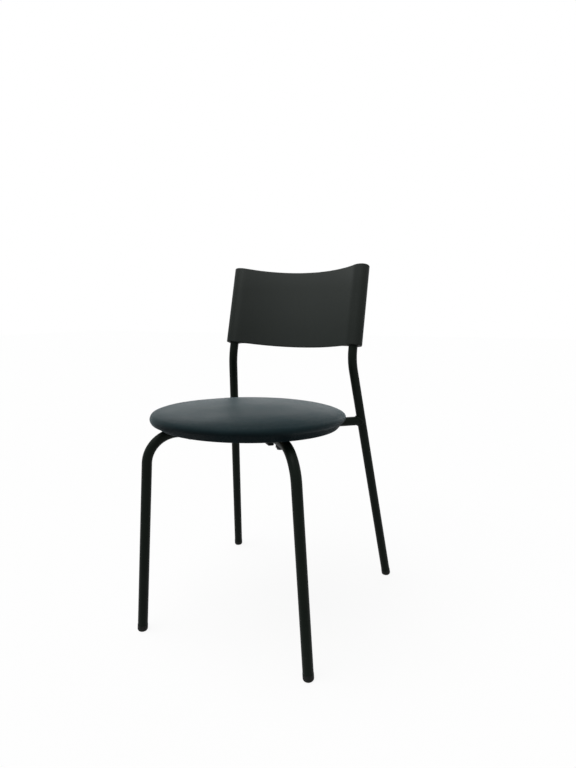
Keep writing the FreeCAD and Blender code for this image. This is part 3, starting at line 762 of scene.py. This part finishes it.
def blow_up(piece, held, pad):
    """Swells the pad as cloth under pressure, but for the held points, and caps how far a point moves."""
    start = np.empty(len(piece.data.vertices) * 3)
    piece.data.vertices.foreach_get("co", start)
    group = piece.vertex_groups.new(name="held")
    group.add(held.tolist(), 1.0, "REPLACE")
    cloth = piece.modifiers.new("swell", "CLOTH")
    cloth.settings.quality = CLOTH_QUALITY
    cloth.settings.mass = CLOTH_MASS
    cloth.settings.air_damping = CLOTH_DAMPING
    cloth.settings.tension_stiffness = pad.stretch
    cloth.settings.compression_stiffness = pad.squeeze
    cloth.settings.shear_stiffness = pad.squeeze
    cloth.settings.bending_stiffness = pad.bend
    cloth.settings.use_pressure = True
    cloth.settings.uniform_pressure_force = pad.pressure
    cloth.settings.effector_weights.gravity = 0
    cloth.settings.vertex_group_mass = "held"
    cloth.collision_settings.use_collision = False
    cloth.point_cache.frame_start = 1
    cloth.point_cache.frame_end = pad.frames
    scene = bpy.context.scene
    for number in range(1, pad.frames + 1):
        scene.frame_set(number)
    swollen = np.empty_like(start)
    shown = piece.evaluated_get(bpy.context.evaluated_depsgraph_get())
    shown.data.vertices.foreach_get("co", swollen)
    piece.modifiers.remove(cloth)
    piece.vertex_groups.remove(group)
    scene.frame_set(1)
    moved = (swollen - start).reshape(-1, 3)
    far = np.linalg.norm(moved, axis=1)
    moved *= (pad.swell * np.tanh(far / pad.swell) / np.maximum(far, STANDING_STILL))[:, None]
    piece.data.vertices.foreach_set("co", start + moved.ravel())
    piece.data.update()


class CHAIR_OT_frame(bpy.types.Operator):
    """Gives the five tubes their black powder coat"""

    bl_idname = "chair.frame"
    bl_label = "Frame tubes"

    def execute(self, context):
        give(FRAME_TUBES, frame_paint(context.scene.chair_frame))
        return {"FINISHED"}


class CHAIR_OT_welds(bpy.types.Operator):
    """Runs weld beads round the coped ends of the cross tubes"""

    bl_idname = "chair.welds"
    bl_label = "Weld beads"

    def execute(self, context):
        look = context.scene.chair_frame
        corner = np.array(look.front_corner)
        joint = np.array(look.cross_joint)
        foot = np.array(look.rear_foot)
        left_bar = unit(joint - mirrored(corner))
        right_bar = mirrored(left_bar)
        right_leg = unit(joint - foot)
        crossing = corner + (mirrored(joint) - corner) * corner[0] / (corner[0] + joint[0])
        paint = weld_metal(look)
        cross = weld_piece("cross_weld_beads", (
            (crossing, right_bar, left_bar),
            (crossing, -right_bar, left_bar),
        ), look, paint)
        rear = weld_piece("rear_weld_beads", (
            (joint, left_bar, right_leg),
            (mirrored(joint), right_bar, mirrored(right_leg)),
        ), look, paint)
        for piece, node in ((cross, "cross_welds"), (rear, "rear_welds")):
            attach(piece, "root")
            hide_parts(node)
        return {"FINISHED"}


class CHAIR_OT_feet(bpy.types.Operator):
    """Finishes the foot caps and the stacking bumpers"""

    bl_idname = "chair.feet"
    bl_label = "Feet and bumpers"

    def execute(self, context):
        look = context.scene.chair_fixings
        give(FEET, moulded("foot_plastic", look.foot, look.dust, 0.0008, 0.46))
        give(BUMPERS, moulded("bumper_rubber", look.bumper, look.dust, 0.0011, 0.58))
        return {"FINISHED"}


class CHAIR_OT_backrest(bpy.types.Operator):
    """Finishes the moulded backrest and its two screws"""

    bl_idname = "chair.backrest"
    bl_label = "Backrest"

    def execute(self, context):
        give(("back_shell",), back_plastic(context.scene.chair_back))
        give(("back_screws",), steel("blacked_back_screws", context.scene.chair_fixings.blacked, 0.36, 0.6))
        return {"FINISHED"}


class CHAIR_OT_seat_pad(bpy.types.Operator):
    """Makes the padded seat: a crowned leatherette pad, pleated under its board"""

    bl_idname = "chair.seat_pad"
    bl_label = "Seat pad"

    def execute(self, context):
        pad = context.scene.chair_pad
        points, faces, skin, painted_tuck_shade = pad_points(pad)
        piece = mesh_piece("seat_pad", on_seat(points, pad), faces, leatherette(pad))
        # The painted shade goes on the mesh as a point attribute
        mark = piece.data.attributes.new("painted_tuck_shade", "FLOAT", "POINT")
        mark.data.foreach_set("value", painted_tuck_shade.astype(np.float32))
        hem = points[:, 2] < pad.underside + pad.hem
        held = np.flatnonzero(hem | (np.arange(len(points)) >= skin))
        blow_up(piece, held, pad)
        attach(piece, "root")
        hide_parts("seat_cover", "seat_foam")
        give(("seat_foam",), foam_cells(context.scene.chair_fixings))
        return {"FINISHED"}


class CHAIR_OT_fixings(bpy.types.Operator):
    """Finishes the seat board and the hardware under the seat"""

    bl_idname = "chair.fixings"
    bl_label = "Seat fixings"

    def execute(self, context):
        look = context.scene.chair_fixings
        give(("seat_board",), veneer(look))
        give(("seat_saddles",), moulded("saddle_plastic", look.saddle, look.dust, 0.0009, 0.50))
        give(("seat_screws", "seat_washers"), steel("blacked_seat_screws", look.blacked, 0.36, 0.6))
        give(("seat_tee_nuts", "seat_staples"), steel("plated_hardware", look.plated, 0.30, 1.0))
        return {"FINISHED"}


class CHAIR_OT_stage(bpy.types.Operator):
    """Sets the camera, the lamps, the white surroundings and the floor"""

    bl_idname = "chair.stage"
    bl_label = "Stage"

    def execute(self, context):
        stage = context.scene.chair_stage
        context.scene.view_settings.view_transform = "Standard"
        self.add_camera(context.scene, stage)
        self.add_lamp(context.scene, "key_lamp", stage.key, stage.softness, stage.key_way)
        self.add_lamp(context.scene, "rim_lamp", stage.rim, stage.softness, stage.rim_way)
        self.add_world(context.scene, stage)
        self.add_floor(stage)
        return {"FINISHED"}

    @staticmethod
    def add_camera(scene, stage):
        lens = bpy.data.cameras.new("camera")
        lens.lens = stage.lens
        camera = bpy.data.objects.new("camera", lens)
        turn = Matrix.Rotation(stage.yaw, 4, "Z") @ Matrix.Rotation(math.pi / 2 - stage.pitch, 4, "X")
        turn = turn @ Matrix.Rotation(stage.roll, 4, "Z")
        camera.matrix_world = Matrix.Translation(stage.camera) @ turn
        scene.collection.objects.link(camera)
        scene.camera = camera

    @staticmethod
    def add_lamp(scene, name, strength, softness, towards):
        """A far, broad lamp in the direction given, which lights the whole floor evenly."""
        lamp = bpy.data.lights.new(name, "SUN")
        lamp.energy = strength
        lamp.angle = softness
        holder = bpy.data.objects.new(name, lamp)
        back = unit(np.array(towards))
        side = unit(np.cross((0.0, 0.0, 1.0), back))
        turn = np.stack((side, np.cross(back, side), back), axis=1)
        holder.matrix_world = Matrix(turn.tolist()).to_4x4()
        scene.collection.objects.link(holder)

    @staticmethod
    def add_world(scene, stage):
        world = bpy.data.worlds.new("white_surroundings")
        nodes = Nodes(world)
        strength = stage.ambient + nodes.seen() * (1 - stage.ambient)
        sky = nodes.node("ShaderNodeBackground", {}, {"Color": WHITE, "Strength": strength})
        nodes.node("ShaderNodeOutputWorld", {}, {"Surface": sky["Background"]})
        scene.world = world

    @staticmethod
    def add_floor(stage):
        nodes = new_nodes("pale_floor")
        seen = nodes.seen()
        tone = nodes.blend(seen, stage.floor_lit, stage.floor_seen)
        lit = nodes.node("ShaderNodeBsdfDiffuse", {}, {"Color": tone})
        plain = nodes.node("ShaderNodeEmission", {}, {"Color": WHITE, "Strength": 1.0})
        white = nodes.finish(nodes.mixed(seen * stage.floor_glow, lit["BSDF"], plain["Emission"]))
        half = stage.floor / 2
        mark = np.linspace(-half, half, FLOOR_CELLS + 1)
        x, y = np.meshgrid(mark, mark, indexing="ij")
        points = np.stack((x, y, np.zeros_like(x)), axis=-1).reshape(-1, 3)
        mesh_piece("floor", points, grid_faces(FLOOR_CELLS).tolist(), white)


class CHAIR_PT_pieces(bpy.types.Panel):
    """Lists the chair's pieces and their settings"""

    bl_idname = "CHAIR_PT_pieces"
    bl_label = "Canteen Chair"
    bl_space_type = "VIEW_3D"
    bl_region_type = "UI"
    bl_category = "Chair"

    def draw(self, context):
        for operator in OPERATORS:
            self.layout.operator(operator.bl_idname)
        for name in SETTINGS:
            box = self.layout.box()
            group = getattr(context.scene, name)
            for key in group.bl_rna.properties.keys():
                if key not in ("rna_type", "name"):
                    box.prop(group, key)


SETTINGS = {
    "chair_frame": ChairFrameSettings,
    "chair_back": ChairBackSettings,
    "chair_pad": ChairPadSettings,
    "chair_fixings": ChairFixingSettings,
    "chair_stage": ChairStageSettings,
}
OPERATORS = (
    CHAIR_OT_frame,
    CHAIR_OT_welds,
    CHAIR_OT_feet,
    CHAIR_OT_backrest,
    CHAIR_OT_seat_pad,
    CHAIR_OT_fixings,
    CHAIR_OT_stage,
)


def register():
    for name, settings in SETTINGS.items():
        bpy.utils.register_class(settings)
        setattr(bpy.types.Scene, name, PointerProperty(type=settings))
    for operator in OPERATORS:
        bpy.utils.register_class(operator)
    bpy.utils.register_class(CHAIR_PT_pieces)


def unregister():
    bpy.utils.unregister_class(CHAIR_PT_pieces)
    for operator in reversed(OPERATORS):
        bpy.utils.unregister_class(operator)
    for name, settings in SETTINGS.items():
        delattr(bpy.types.Scene, name)
        bpy.utils.unregister_class(settings)


def main():
    register()
    bpy.ops.chair.frame()
    bpy.ops.chair.welds()
    bpy.ops.chair.feet()
    bpy.ops.chair.backrest()
    bpy.ops.chair.seat_pad()
    bpy.ops.chair.fixings()
    bpy.ops.chair.stage()


if __name__ == "__main__":
    main()
